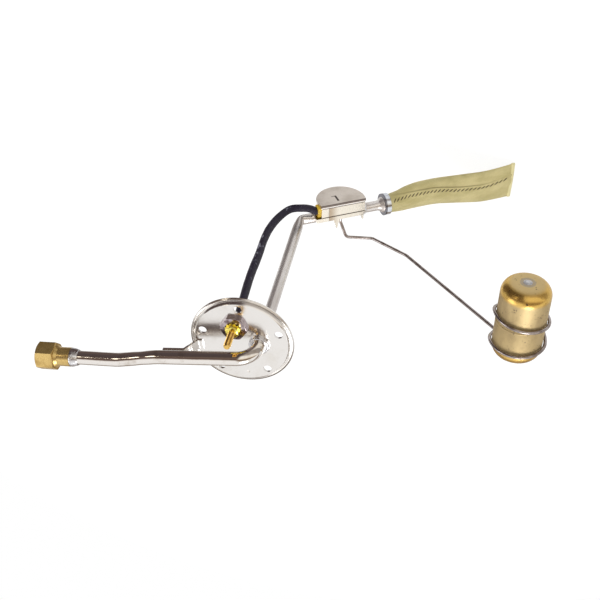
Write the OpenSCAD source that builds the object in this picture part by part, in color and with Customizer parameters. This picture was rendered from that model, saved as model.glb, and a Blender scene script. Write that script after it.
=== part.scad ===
// Fuel level sender: a five-bolt tank flange with an outlet tube and pickup tube,
// a float arm that turns a variable resistor in a D-shaped can, and a filter sock.
// The origin is the centre of the flange's gasket side, +Z points out of the tank.

/* [Mounting flange] */
// Outside diameter of the flange
flange_d = 70; // [66:0.5:76]
// Thickness of the flange sheet
flange_t = 1.5; // [1:0.1:2.5]
// Height that the middle is pressed up above the lip
boss_h = 1.8; // [1:0.1:3]
// Diameter of the raised middle
boss_d = 64.5; // [62:0.5:66]
// Bolt circle diameter
bolt_pcd = 54; // [50:0.5:56]
// Number of bolt holes
bolt_count = 5; // [3:1:6]
// Diameter of a bolt hole
bolt_hole_d = 5.6; // [4:0.1:6.5]
// Turn of the bolt circle about the flange's axis
bolt_turn = -14; // [-20:1:-6]

/* [Tubes] */
// Distance from the flange's centre to the tubes
tube_offset = 12; // [11:0.5:14]
// Outside diameter of the outlet tube
outlet_d = 9.53; // [8.8:0.01:10.5]
// Outside diameter of the pickup tube
pickup_d = 7.94; // [7:0.01:8.2]
// Wall thickness of both tubes
tube_wall = 0.7; // [0.5:0.05:1]
// Height of the outlet tube's centreline above the gasket side
outlet_h = 18; // [17:0.5:24]
// Bend radius of the outlet tube over the flange
outlet_bend_r = 12.5; // [11:0.5:13]
// Depth of the pickup tube's bend below the gasket side
bend_depth = 146; // [120:1:200]
// Bend radius of the pickup tube
pickup_bend_r = 5.5; // [5:0.5:12]
// Angle of the pickup tube's lower end below the flange's plane
end_slope = 30; // [24:1:36]
// Length of the pickup tube from its bend to the ferrule
end_len = 69; // [66:1:80]

/* [Outlet fitting] */
// Width across flats of the fitting's hexagon
fitting_af = 17.46; // [17:0.01:20]
// Length of the fitting's hexagon
fitting_hex_len = 11.4; // [10:0.1:16]
// Diameter of the fitting's neck
fitting_neck_d = 13; // [12.2:0.1:14]
// Length of the fitting's neck
fitting_neck_len = 8.5; // [6:0.5:12]
// Radius of the fitting's threaded mouth
fitting_bore_r = 7.2; // [6.8:0.1:7.6]

/* [Terminal] */
// Distance of the terminal from the flange's centre along X
stud_x = 4.6; // [1:0.1:5]
// Distance of the terminal from the flange's centre along Y
stud_y = -12.7; // [-15:0.1:-12]
// Diameter of the terminal stud
stud_d = 4.8; // [4:0.1:5.2]
// Height of the terminal stud's tip above the gasket side
stud_top = 24.4; // [22:0.2:32]
// Width across flats of the large hexagon
base_hex_af = 16.5; // [14:0.1:17]
// Thickness of the large hexagon
base_hex_t = 3; // [2:0.1:7]
// Width across flats of the brass nut
nut_af = 10; // [8.5:0.1:11]
// Thickness of the brass nut
nut_t = 3.9; // [3:0.1:5]
// Diameter of the sleeved wire
wire_d = 6; // [4:0.1:6.4]

/* [Rheostat housing] */
// Radius of the can's round wall
can_r = 18.8; // [18.5:0.1:22]
// Height of the can's wall
can_h = 10.2; // [9.6:0.1:14]
// Thickness of the can's wall
can_wall = 0.7; // [0.5:0.05:0.8]
// Distance of the pivot along the pickup tube from its bend
pivot_along = 31.4; // [30:0.1:36]
// Distance from the pivot to the can's flat front
front_gap = 3.9; // [2.5:0.1:4.5]
// Distance from the pivot to the can's flat end
end_gap = 17.4; // [17:0.1:18]
// Radius of the winding's inner face
winding_r = 15.5; // [15:0.1:15.9]
// Height of the resistor card
card_h = 7; // [5:0.1:8]

/* [Float and arm] */
// Diameter of the arm's wire
arm_d = 2.4; // [2:0.1:2.6]
// Depth of the arm's plane beside the pickup tube's axis
arm_plane = 14.5; // [12:0.5:18]
// Length of the arm from the pivot to the float's axis
arm_len = 176.8; // [165:0.1:190]
// Angle of the arm above the flange's plane as it stands
arm_rise = 38.4; // [30:0.1:45]
// Diameter of the float
float_d = 34; // [30:0.5:36]
// Length of the float
float_len = 60.5; // [52:0.5:64]
// Corner radius of the float's ends
float_corner_r = 9; // [6:0.5:12]
// Distance of the float's middle above the pickup tube's axis
float_rise = 8; // [4:0.5:12]
// Distance between the float's two wire turns
ring_pitch = 22.5; // [18:0.5:26]

/* [Filter] */
// Outside diameter of the ferrule
ferrule_d = 17.5; // [16:0.1:20]
// Length of the ferrule
ferrule_len = 4.8; // [4:0.1:9]
// Length of the sock beyond the ferrule
sock_len = 112.2; // [80:0.1:130]
// Width of the sock's flat end
sock_w = 32; // [24:0.5:36]
// Thickness of the sock's flat end
sock_t = 2.4; // [2:0.1:5]

/* [Hidden] */
$fn = 48;

// Gap between faces that are soldered, crimped or pressed together
seat = 0.03;
// Radial clearance of the arm's shaft in its bushing
shaft_clear = 0.05;
// Gap between curved faces that pass each other
pass_gap = 0.3;

boss_top = flange_t + boss_h;
stud_r = stud_d / 2;
stud_root = stud_r - 0.25;
outlet_r = outlet_d / 2;
pickup_r = pickup_d / 2;
arm_r = arm_d / 2;
float_r = float_d / 2;

// The outlet tube runs level over the flange and jogs sideways once
outlet_route = [
    [-tube_offset, 0, boss_top],
    [-tube_offset, 0, outlet_h],
    [55, 9.5, outlet_h],
    [82, 16.6, outlet_h],
    [124.9, 20.61, outlet_h]
];
outlet_bends = [outlet_bend_r, 40, 40];
outlet_end = outlet_route[4];
outlet_dir = unit(outlet_route[4] - outlet_route[3]);
outlet_turn = atan2(outlet_route[2][1], outlet_route[2][0] + tube_offset);

// The lower end of the pickup tube has its own frame: x along the tube, z behind it
bend_at = [-tube_offset, 0, -bend_depth];
end_dir = [-cos(end_slope), 0, -sin(end_slope)];
behind_dir = [sin(end_slope), 0, -cos(end_slope)];

// The pivot stands in front of the pickup tube
pivot_front = pickup_r + arm_r + 0.45;
pivot_local = [pivot_along, 0, -pivot_front];
pivot_at = bend_at + pivot_along * end_dir - pivot_front * behind_dir;

plate_t = 0.8;
plate_low = -pickup_r - seat;
plate_high = plate_low - plate_t;
can_top = plate_high - can_h;
lid_t = 0.8;
lid_rim = 1.5;
left_x = pivot_along - end_gap;
collar_x = pivot_along + can_r + 0.55;
collar_len = 3.4;

bushing_r = arm_r + 0.8;
hub_r = arm_r + 0.8;
hub_top = can_top + 3.2;
hub_h = plate_high - 0.9 - hub_top;
shaft_low = 2;
wiper_angle = -67;
winding_t = 0.9;

float_at = pivot_at + arm_len * [-cos(arm_rise), 0, sin(arm_rise)];
float_mid_y = -float_rise;
ring_r = float_r + arm_r + 0.4;

// Arm in its own plane: x from the pivot to the float's axis, y square to it
coil_lead = 11;
arm_kinks = [[8, 0.6], [22.7, -13.5], [56.1, -17.3]];
coil_start = -arm_rise + coil_lead;
coil_turn = 600;
coil_y = [
    [0, arm_plane], [38, arm_plane - 4.3], [122, arm_plane - 3.7], [218, arm_plane - 5.3],
    [300, arm_plane - 16.5], [398, arm_plane - 7 - ring_pitch], [482, arm_plane - 3.3 - ring_pitch],
    [578, arm_plane - ring_pitch], [coil_turn, arm_plane - ring_pitch + 0.2]
];
arm_route = [
    [pivot_at[0], shaft_low + seat, pivot_at[2]],
    [pivot_at[0], shaft_low + 2, pivot_at[2]],
    for (k = arm_kinks) in_arm_plane(k),
    coil_point(0) - 5.5 * coil_dir(0),
    coil_point(0)
];

fitting_turn = 19;
grommet_t = 2.6;
grommet_y = (can_top + lid_rim + plate_high) / 2;
grommet_w = plate_high - can_top - lid_rim - 2 * pass_gap;
grommet_z = -pivot_front;
grommet_from_pivot = -grommet_z - pivot_front;
grommet_face = bend_at + (left_x - grommet_t) * end_dir + grommet_z * behind_dir
    + [0, grommet_y, 0];

// The lead drops beside its eyelet's tail, then turns into the grommet
wire_y = stud_y + stud_r + 3.4 - wire_d / 2 - seat;
wire_route = [
    [stud_x, wire_y, -5.5],
    [stud_x + 0.3, wire_y - 1.6, -14],
    [5.4, -12.4, -29],
    [6.2, -12, -45],
    [6.4, -12, -60],
    [6, -12, -80],
    [6.2, -12, -98],
    [5, -12, -114],
    [1.2, -11.8, -128.7],
    [-5.3, -11.4, -139.7],
    grommet_face - 11 * end_dir,
    grommet_face - 5 * end_dir,
    grommet_face
];

sock_sides = 24;
sock_rings = 17;

// How far the sock has opened, and how far it sways, at shares of its length
sock_opening = [[0, 0], [0.063, 0], [0.13, 0.32], [0.24, 0.5], [0.41, 0.54], [0.6, 0.72], [0.76, 0.86], [1, 1]];
sock_wave = [[0, 0], [0.063, 0], [0.13, -1.6], [0.22, -3.2], [0.38, -3.6], [0.58, -1], [0.76, 1.4], [0.9, 0.8], [1, -0.3]];

function unit(v) = v / norm(v);
function side_of(d) = abs(d[2]) > 0.9 ? unit(cross([0, 1, 0], d)) : unit(cross([0, 0, 1], d));
function bend_cut(p, i, r) =
    let (a = unit(p[i] - p[i - 1]), b = unit(p[i + 1] - p[i])) r * tan(acos(a * b) / 2);

// Point and direction of the wire after a turn of t degrees round the float
function coil_depth(t) = (lookup(t - 12, coil_y) + lookup(t, coil_y) + lookup(t + 12, coil_y)) / 3;
function coil_point(t) = [
    float_at[0] + ring_r * cos(coil_start + t),
    coil_depth(t),
    float_at[2] + ring_r * sin(coil_start + t)
];
function coil_dir(t) = unit(coil_point(min(t + 4, coil_turn)) - coil_point(max(t - 4, 0)));

function in_arm_plane(k) = [
    pivot_at[0] - k[0] * cos(arm_rise) + k[1] * sin(arm_rise),
    arm_plane,
    pivot_at[2] + k[0] * sin(arm_rise) + k[1] * cos(arm_rise)
];

// Ring of the sock: half width a, half thickness b and its sway at t from 0 to 1
function mix(a, b, t) = a + (b - a) * t;
function sock_ring(i) =
    let (
        t = i / (sock_rings - 1),
        in_r = ferrule_d / 2 - 1.1 - pass_gap,
        start = end_len + 1.9,
        x = mix(start, end_len + ferrule_len + sock_len, t),
        a = mix(in_r, sock_w / 2, lookup(t, sock_opening)),
        b = mix(in_r, sock_t / 2, t < 0.05 ? 0 : pow(t, 1.3)),
        wave = lookup(t, sock_wave)
    )
    [for (k = [0 : sock_sides - 1])
        let (u = 360 * k / sock_sides) [x, wave + a * cos(u), b * sin(u)]];

// Faces of a closed tube of n rings with m points each
function tube_faces(n, m) = [
    [for (k = [0 : m - 1]) k],
    [for (k = [m - 1 : -1 : 0]) (n - 1) * m + k],
    for (i = [0 : n - 2]) for (k = [0 : m - 1])
        [i * m + k, (i + 1) * m + k, (i + 1) * m + (k + 1) % m, i * m + (k + 1) % m]
];

// Smooth curve through the points p at parameter u, counted in points
function on_curve(p, u) =
    let (
        n = len(p),
        i = min(floor(u), n - 2),
        t = u - i,
        p0 = p[max(i - 1, 0)], p1 = p[i], p2 = p[i + 1], p3 = p[min(i + 2, n - 1)]
    )
    0.5 * (2 * p1 + (p2 - p0) * t + (2 * p0 - 5 * p1 + 4 * p2 - p3) * t * t
        + (3 * p1 - p0 - 3 * p2 + p3) * t * t * t);

// A track is a list of [point, direction] pairs. This one goes straight between
// the points p and rounds each inner corner with its radius in b, in k steps.
function bent_track(p, b, k) = [
    [p[0], unit(p[1] - p[0])],
    for (i = [1 : len(p) - 2])
        let (
            da = unit(p[i] - p[i - 1]),
            db = unit(p[i + 1] - p[i]),
            x = cross(da, unit(cross(da, db))),
            c = p[i] - bend_cut(p, i, b[i - 1]) * da - b[i - 1] * x
        )
        for (j = [0 : k])
            let (a = acos(da * db) * j / k)
            [c + b[i - 1] * (cos(a) * x + sin(a) * da), cos(a) * da - sin(a) * x],
    [p[len(p) - 1], unit(p[len(p) - 1] - p[len(p) - 2])]
];

// Track along a smooth curve through the points p, with per steps between two points
function smooth_track(p, per) =
    let (n = (len(p) - 1) * per + 1, c = [for (i = [0 : n - 1]) on_curve(p, i / per)])
    [for (i = [0 : n - 1]) [c[i], unit(c[min(i + 1, n - 1)] - c[max(i - 1, 0)])]];

// Side vectors that turn as little as possible along a track
function turned(x, d) = unit(x - (x * d) * d);
function side_vectors(track) =
    let (n = len(track))
    [for (i = 0, x = turned([0.31, 0.2, 0.93], track[0][1]); i < n;
        i = i + 1, x = turned(x, track[min(i, n - 1)][1])) x];

function rings_on(track, r, m) =
    let (side = side_vectors(track))
    [for (i = [0 : len(track) - 1])
        let (x = side[i], y = cross(track[i][1], x))
        for (k = [0 : m - 1])
            track[i][0] + (is_list(r) ? r[i] : r) * (cos(360 * k / m) * x + sin(360 * k / m) * y)];

// Round rod of radius r with m sides along a track
module swept_rod(track, r, m) {
    polyhedron(points = rings_on(track, r, m), faces = tube_faces(len(track), m), convexity = 8);
}

// Tube along a track, open at both ends; r is one radius or a radius for each ring
module swept_tube(track, r, bore, m) {
    n = len(track);
    q = n * m;
    polyhedron(
        points = concat(rings_on(track, r, m), rings_on(track, bore, m)),
        faces = [
            for (i = [0 : n - 2]) for (k = [0 : m - 1]) let (a = i * m + k, b = i * m + (k + 1) % m) each [
                [a, a + m, b + m, b], [q + a, q + b, q + b + m, q + a + m]
            ],
            for (k = [0 : m - 1]) let (j = (k + 1) % m, e = (n - 1) * m) each [
                [k, j, q + j, q + k], [e + k, q + e + k, q + e + j, e + j]
            ]
        ], convexity = 8);
}

function at_angle(r, a) = [r * cos(a), r * sin(a)];

// Places children's z axis along d at point p
module along(p, d) {
    x = side_of(d);
    y = cross(d, x);
    multmatrix([
        [x[0], y[0], d[0], p[0]],
        [x[1], y[1], d[1], p[1]],
        [x[2], y[2], d[2], p[2]],
        [0, 0, 0, 1]
    ]) children();
}

// The frame of the pickup tube's lower end
module at_end() {
    translate(bend_at) rotate([0, 180 - end_slope, 0]) children();
}

// The pivot's frame: z runs down the shaft, x along the tube
module at_pivot() {
    at_end() translate(pivot_local) rotate([-90, 0, 0]) children();
}

module hexagon(af, h) {
    cylinder(h = h, r = af / sqrt(3), $fn = 6);
}

// Hexagon with its corners turned off by a cone at the ends that are asked for
module chamfered_hex(af, h, low, high) {
    r = af / sqrt(3);
    c = r - af / 2;
    intersection() {
        hexagon(af, h);
        rotate_extrude() polygon([
            [0, 0], [low ? af / 2 : r, 0], [r, low ? c * 0.6 : 0],
            [r, high ? h - c * 0.6 : h], [high ? af / 2 : r, h], [0, h]
        ]);
    }
}

module mounting_flange() {
    boss_r = boss_d / 2;
    lip_r = flange_d / 2;
    step = boss_h * 0.4;
    under = boss_r - flange_t;
    color("gainsboro") difference() {
        rotate_extrude($fn = 96) union() {
            polygon([
                [0, boss_h], [under - step, boss_h], [under, 0], [lip_r - 0.4, 0],
                [lip_r, 0.4], [lip_r, flange_t - 0.4], [lip_r - 0.4, flange_t],
                [boss_r + 0.3, flange_t], [boss_r - step * 0.5, boss_top - 0.5],
                [boss_r - step * 1.2, boss_top], [0, boss_top]
            ]);
        }
        for (i = [0 : bolt_count - 1])
            rotate(bolt_turn + i * 360 / bolt_count) translate([bolt_pcd / 2, 0, -1])
                cylinder(h = boss_top + 2, d = bolt_hole_d);
        translate([-tube_offset, 0, -1]) cylinder(h = boss_top + 2, r = pickup_r + seat);
        translate([stud_x, stud_y, -1]) cylinder(h = boss_top + 2, r = stud_r + 1.5);
        rotate(100) translate([25.5, 0, boss_top - 0.5]) cylinder(h = 1, r = 0.9);
    }
}

// Pressed and soldered collar that holds the tubes on the flange
module flange_collar() {
    inner = outlet_r + seat;
    color("silver") translate([-tube_offset, 0, boss_top]) rotate_extrude() difference() {
        union() {
            translate([inner, 0]) square([1.1, 2.6]);
            translate([inner, 0]) square([2.3, 1.1]);
            translate([inner + 1.1, 1.1]) circle(r = 1.1);
        }
        translate([inner - 3, -3]) square([3, 8]);
        translate([inner - 3, -3]) square([8, 3]);
    }
}

module outlet_tube() {
    color("silver")
        swept_tube(bent_track(outlet_route, outlet_bends, 6), outlet_r, outlet_r - tube_wall, 24);
}

// Strip from the flange's edge up to the underside of the outlet tube
module support_strap() {
    w = 7;
    t = 1;
    edge = tube_offset + boss_d / 2 - 2.25;
    foot = [edge - 3.5, edge];
    rise = edge + w;
    reach = edge + 3 * w + 0.5;
    under = outlet_h - outlet_r;
    color("silver") translate([-tube_offset, 0, 0]) rotate(outlet_turn) difference() {
        rotate([90, 0, 0]) translate([0, 0, -w / 2]) linear_extrude(w) polygon([
            [foot[0], boss_top], [foot[1], boss_top], [foot[1] + 1.2, boss_top + 0.6],
            [rise + 0.4, under - 1], [reach, under - 1], [reach, under + 0.9],
            [rise - 0.4, under + 0.9], [foot[1], boss_top + t + 0.9],
            [foot[1] - 0.8, boss_top + t], [foot[0], boss_top + t]
        ]);
        translate([0, 0, outlet_h]) rotate([0, 90, 0]) cylinder(h = reach + 10, r = outlet_r + seat);
    }
}

// Brass end fitting with a threaded mouth, soldered on the outlet tube
module outlet_fitting() {
    total = fitting_neck_len + 3 + fitting_hex_len;
    neck_r = fitting_neck_d / 2;
    color("goldenrod") along(outlet_end - 10 * outlet_dir, outlet_dir) difference() {
        union() {
            cylinder(h = fitting_neck_len, r = neck_r);
            translate([0, 0, fitting_neck_len])
                cylinder(h = 3, r1 = neck_r, r2 = fitting_af / 2 - 0.3);
            translate([0, 0, fitting_neck_len + 3 - 1.2])
                rotate(fitting_turn) chamfered_hex(fitting_af, fitting_hex_len + 1.2, true, true);
        }
        translate([0, 0, -1]) cylinder(h = total + 2, r = outlet_r + seat);
        translate([0, 0, total - fitting_hex_len]) cylinder(h = fitting_hex_len + 1, r = fitting_bore_r);
    }
}

module fitting_solder() {
    neck_r = fitting_neck_d / 2;
    inner = outlet_r + seat;
    color("silver") along(outlet_end - 15.5 * outlet_dir, outlet_dir) rotate_extrude()
        polygon([
            [inner, 0], [inner + 0.5, 0], [inner + 1, 1.6], [neck_r - 0.2, 3.4],
            [neck_r, 4.6], [neck_r - 0.2, 5.5], [inner, 5.5]
        ]);
}

module pickup_tube() {
    flare = (end_len - collar_x - collar_len) * 0.35;
    low_end = bend_at + (end_len - flare) * end_dir;
    track = concat(
        bent_track([[-tube_offset, 0, boss_top + 5], bend_at, low_end], [pickup_bend_r], 6),
        [for (x = [0.6, 1, 1, 1.26]) [low_end + x * flare * end_dir, end_dir]]
    );
    grow = [0.9, 2.4, 0, 0];
    radii = [for (i = [0 : len(track) - 1]) pickup_r + (i < len(track) - 4 ? 0 : grow[i - len(track) + 4])];
    color("silver") swept_tube(track, radii, pickup_r - tube_wall, 24);
}

module terminal_stud() {
    thread_from = boss_top + base_hex_t + nut_t + seat;
    color("goldenrod") translate([stud_x, stud_y, 0]) {
        translate([0, 0, -3.4]) cylinder(h = thread_from + 3.4, r = stud_root);
        translate([0, 0, thread_from]) cylinder(h = stud_top - 0.8 - thread_from, r = stud_r);
        translate([0, 0, stud_top - 0.8]) cylinder(h = 0.8, r1 = stud_r, r2 = stud_r - 0.6);
        translate([0, 0, -3.4]) cylinder(h = 1.4, r = stud_r + 1.6);
    }
}

module terminal_base_hex() {
    color("slategray") translate([stud_x, stud_y, boss_top]) difference() {
        rotate(-4) chamfered_hex(base_hex_af, base_hex_t, false, true);
        translate([0, 0, -1]) cylinder(h = base_hex_t + 2, r = stud_root + seat);
    }
}

module terminal_nut() {
    color("gold") translate([stud_x, stud_y, boss_top + base_hex_t]) difference() {
        rotate(8) chamfered_hex(nut_af, nut_t, false, true);
        translate([0, 0, -1]) cylinder(h = nut_t + 2, r = stud_root + seat);
    }
}

// Insulating sleeve round the stud in the flange's hole
module terminal_sleeve() {
    color("ivory") translate([stud_x, stud_y, boss_h]) difference() {
        cylinder(h = flange_t, r = stud_r + 1.5 - seat);
        translate([0, 0, -1]) cylinder(h = flange_t + 2, r = stud_r + seat);
    }
}

module terminal_washer() {
    color("ivory") translate([stud_x, stud_y, boss_h - 2.8]) difference() {
        cylinder(h = 2.8, r = stud_r + 4);
        translate([0, 0, -1]) cylinder(h = 5, r = stud_r + seat);
    }
}

// Ring terminal on the stud, bent down to grip the wire
module wire_eyelet() {
    ring_z = boss_h - 2.8 - 1;
    color("tan") translate([stud_x, stud_y, 0]) difference() {
        union() {
            translate([0, 0, ring_z]) cylinder(h = 1, r = stud_r + 2);
            translate([-1.5, 0, ring_z]) cube([3, stud_r + 4.4, 1]);
            translate([-1.5, stud_r + 3.4, -8]) cube([3, 1, 8 + ring_z + 1]);
        }
        translate([0, 0, ring_z - 1]) cylinder(h = 3, r = stud_r + seat);
    }
}

// Cloth-covered lead from the terminal to the can, held at both ends
module sender_wire() {
    color("#1d1b22") swept_rod(smooth_track(wire_route, 3), wire_d / 2, 10);
}

// Insulating block on the can's flat end that the lead enters
module wire_grommet() {
    color("gold") at_end() difference() {
        translate([left_x - grommet_t, grommet_y - grommet_w / 2, grommet_z - 3.2])
            cube([grommet_t, grommet_w, 6.4]);
        translate([left_x - grommet_t - 1, grommet_y, grommet_z])
            rotate([0, 90, 0]) cylinder(h = grommet_t + 2, r = 0.9);
    }
}

// Rivet that carries the current through the grommet and the can's wall
module grommet_rivet() {
    color("goldenrod") at_end() translate([left_x - grommet_t, grommet_y, grommet_z])
        rotate([0, 90, 0]) {
            cylinder(h = grommet_t + can_wall + 1, r = 0.9 - seat);
            translate([0, 0, grommet_t + can_wall]) cylinder(h = 0.7, r = 1.8);
        }
}

// D-shaped outline round the pivot, grown by g
module can_outline(g) {
    intersection() {
        circle(r = can_r + g, $fn = 96);
        translate([-end_gap - g, -can_r - 5])
            square([end_gap + can_r + 2 * g + 5, can_r + 5 + front_gap + can_wall + g]);
    }
}

module rheostat_can() {
    color("beige") at_pivot() translate([0, 0, can_top]) difference() {
        linear_extrude(can_h) can_outline(0);
        translate([0, 0, -1]) linear_extrude(can_h + 2) can_outline(-can_wall);
        translate([-end_gap - 1, grommet_from_pivot, grommet_y - can_top])
            rotate([0, 90, 0]) cylinder(h = 3, r = 0.9);
    }
}

// Lid with a turned-down rim and one short stamped slot
module can_lid() {
    color("silver") at_pivot() translate([0, 0, can_top]) difference() {
        translate([0, 0, -lid_t]) linear_extrude(lid_t + lid_rim) can_outline(0.55);
        linear_extrude(lid_rim + 1) can_outline(seat);
        translate([-3, -6.5, -lid_t - 1]) cube([1.1, 7, 1.35]);
    }
}

// Plate under the can, with a front lip and two stop tabs
module bracket_plate() {
    lip_h = 2.6;
    lip_t = 0.8;
    front = front_gap + can_wall + 0.5;
    tail = end_gap + 4.4;
    color("whitesmoke") at_pivot() difference() {
        union() {
            translate([0, 0, plate_high]) linear_extrude(plate_t) union() {
                can_outline(0.5);
                translate([-tail, -6]) square([tail, 6 + front]);
            }
            translate([-tail, front - lip_t, plate_low - 0.1])
                cube([tail + can_r - 1.5, lip_t, lip_h + 0.1]);
            translate([0, front, 0]) rotate([90, 0, 0]) linear_extrude(lip_t) polygon([
                [-7, plate_low], [-2.7, plate_low], [-2.7, 0.6], [-3.6, 1.4],
                [-4.3, 6], [-5.4, 6], [-6.2, 1.4], [-7, 0.6]
            ]);
            translate([can_r - 2.3, front - 3.4, plate_low - 0.1]) cube([lip_t, 3.4, 6.5]);
        }
        translate([0, 0, plate_high - 1]) cylinder(h = plate_t + 2, r = bushing_r + seat);
    }
}

// Two clips and an end collar that hold the plate on the pickup tube
module tube_clips() {
    grip = pickup_r + seat;
    t = 0.8;
    color("silver") at_end() {
        for (x = [left_x + 2, pivot_along + 9]) translate([x, 0, 0]) difference() {
            union() {
                rotate([0, 90, 0]) cylinder(h = 5, r = grip + t);
                translate([0, plate_low, -grip - t]) cube([5, -plate_low, 2 * (grip + t)]);
            }
            translate([-1, 0, 0]) rotate([0, 90, 0]) cylinder(h = 7, r = grip);
            translate([-1, plate_low - 3, -9]) cube([7, 3, 18]);
            translate([-1, plate_low - 1, -grip]) cube([7, 1 - plate_low, 2 * grip]);
        }
        translate([collar_x, 0, 0]) rotate([0, 90, 0]) difference() {
            cylinder(h = collar_len, r1 = grip + 1.9, r2 = grip + 0.4);
            translate([0, 0, -1]) cylinder(h = 6, r = grip);
        }
    }
}

module pivot_bushing() {
    color("darkkhaki") at_pivot() difference() {
        union() {
            translate([0, 0, plate_high - 0.6]) cylinder(h = 0.6, r = bushing_r + 0.4);
            translate([0, 0, plate_high - 0.6]) cylinder(h = plate_t + 2.2, r = bushing_r);
        }
        translate([0, 0, plate_high - 2]) cylinder(h = 8, r = arm_r + shaft_clear);
    }
}

// Curved card against the can's round wall
module resistor_card() {
    span = 112;
    color("saddlebrown") at_pivot() translate([0, 0, plate_high - 2 - card_h])
        rotate(-90 - span / 2) rotate_extrude(angle = span, $fn = 96)
            translate([winding_r + winding_t, 0])
                square([can_r - can_wall - seat - winding_r - winding_t, card_h]);
}

// Ribs stand for the turns of resistance wire on the card's inner face
module resistor_winding() {
    span = 104;
    turns = 26;
    step = span / turns / 4;
    rib = winding_r + 0.35;
    outer = winding_r + winding_t - seat;
    inner_points = [for (i = [0 : turns - 1]) each [
        at_angle(rib, i * 4 * step), at_angle(winding_r, (i * 4 + 1) * step),
        at_angle(winding_r, (i * 4 + 2) * step), at_angle(rib, (i * 4 + 3) * step)
    ]];
    outer_points = [for (i = [turns : -1 : 0]) at_angle(outer, min(i * 4, turns * 4 - 1) * step)];
    color("peru") at_pivot() translate([0, 0, plate_high - 2.6 - (card_h - 1.2)])
        rotate(-90 - span / 2) linear_extrude(card_h - 1.2)
            polygon(concat(inner_points, outer_points));
}

module wiper_hub() {
    color("goldenrod") at_pivot() translate([0, 0, hub_top]) difference() {
        cylinder(h = hub_h, r = hub_r);
        translate([0, 0, -1]) cylinder(h = hub_h + 2, r = arm_r + seat);
    }
}

// Springy strip from the hub to the winding
module wiper_blade() {
    reach = winding_r - pass_gap - 1.6;
    color("goldenrod") at_pivot() rotate(wiper_angle) difference() {
        union() {
            translate([hub_r - 0.6, -1.5, hub_top + hub_h / 2 - 0.25])
                cube([reach - hub_r + 0.6, 3, 0.5]);
            translate([reach - 0.5, -1.5, hub_top + hub_h / 2 - 2]) cube([0.5, 3, 4]);
        }
        translate([0, 0, hub_top - 1]) cylinder(h = hub_h + 2, r = hub_r + seat);
    }
}

module wiper_contact() {
    reach = winding_r - pass_gap - 1.6;
    color("silver") at_pivot() rotate(wiper_angle)
        translate([reach + seat, 0, hub_top + hub_h / 2]) rotate([0, 90, 0]) {
            cylinder(h = 0.8, r = 1.1);
            translate([0, 0, 0.8]) cylinder(h = 0.6, r1 = 1.1, r2 = 0.6);
        }
}

// Short shaft in the bushing that carries the hub above and the arm below
module pivot_shaft() {
    start = hub_top - 0.5;
    color("dimgray") at_pivot() translate([0, 0, start]) cylinder(h = shaft_low - start, r = arm_r);
}

// One wire: the cranked arm and a turn and a half round the float
module float_arm() {
    steps = 30;
    track = concat(
        bent_track(arm_route, [2.4, 3.2, 5, 8, 3.5], 4),
        [for (i = [1 : steps]) [coil_point(coil_turn * i / steps), coil_dir(coil_turn * i / steps)]]
    );
    color("dimgray") swept_rod(track, arm_r, 10);
}

// Half of the float: a drawn brass cup, s is -1 for the upper and 1 for the lower one
module float_cup(s) {
    wall = 0.4;
    half = float_len / 2;
    c = float_corner_r;
    translate([float_at[0], float_mid_y, float_at[2]]) rotate([-90 * s, 0, 0]) rotate_extrude($fn = 96)
        difference() {
            union() {
                square([float_r, half - c]);
                square([float_r - c, half]);
                translate([float_r - c, half - c]) circle(r = c);
                if (s == 1) translate([float_r - 0.2, 0]) square([0.4, 1.2]);
            }
            translate([0, -1]) square([float_r - wall, half - c + 1]);
            translate([0, 0]) square([float_r - c, half - wall]);
            translate([float_r - c, half - c]) circle(r = c - wall);
            translate([-60, -60]) square([60, 160]);
            translate([-60, -60]) square([160, 60]);
        }
}

module float_shell_upper() {
    color("#b8934a") float_cup(-1);
}

module float_shell_lower() {
    color("#b8934a") float_cup(1);
}

// Drop of solder that closes the vent hole
module float_solder() {
    color("lightgray") translate([float_at[0], float_mid_y - float_len / 2 - seat, float_at[2]])
        rotate([90, 0, 0]) intersection() {
            translate([0, 0, -4]) sphere(r = 5);
            cylinder(h = 3, r = 3);
        }
}

// Crimped ring that holds the sock on the pickup tube
module filter_ferrule() {
    r = ferrule_d / 2;
    t = 0.8;
    color("silver") at_end() translate([end_len, 0, 0]) rotate([0, 90, 0]) rotate_extrude() difference() {
        union() {
            square([r, t + 0.4]);
            translate([r - t, 0]) square([t, ferrule_len]);
            translate([r - 0.9, 0.9]) circle(r = 0.9);
            translate([r - 0.55, ferrule_len - 0.55]) circle(r = 0.55);
        }
        translate([-1, -1]) square([1 + pickup_r + seat, 5]);
        translate([pickup_r + seat, -3]) square([9, 3]);
    }
}

// Woven sock as one closed solid: round in the ferrule, flat at its end
module filter_sock() {
    color("#a9a06a") at_end() polyhedron(
        points = [for (i = [0 : sock_rings - 1]) each sock_ring(i)],
        faces = tube_faces(sock_rings, sock_sides), convexity = 4);
}

mounting_flange();
flange_collar();
outlet_tube();
support_strap();
outlet_fitting();
fitting_solder();
pickup_tube();
terminal_stud();
terminal_base_hex();
terminal_nut();
terminal_sleeve();
terminal_washer();
wire_eyelet();
sender_wire();
wire_grommet();
grommet_rivet();
rheostat_can();
can_lid();
bracket_plate();
tube_clips();
pivot_bushing();
pivot_shaft();
resistor_card();
resistor_winding();
wiper_hub();
wiper_blade();
wiper_contact();
float_arm();
float_shell_upper();
float_shell_lower();
float_solder();
filter_ferrule();
filter_sock();
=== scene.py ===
import math

import bmesh
import bpy
from mathutils import Matrix, Vector, noise


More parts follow.
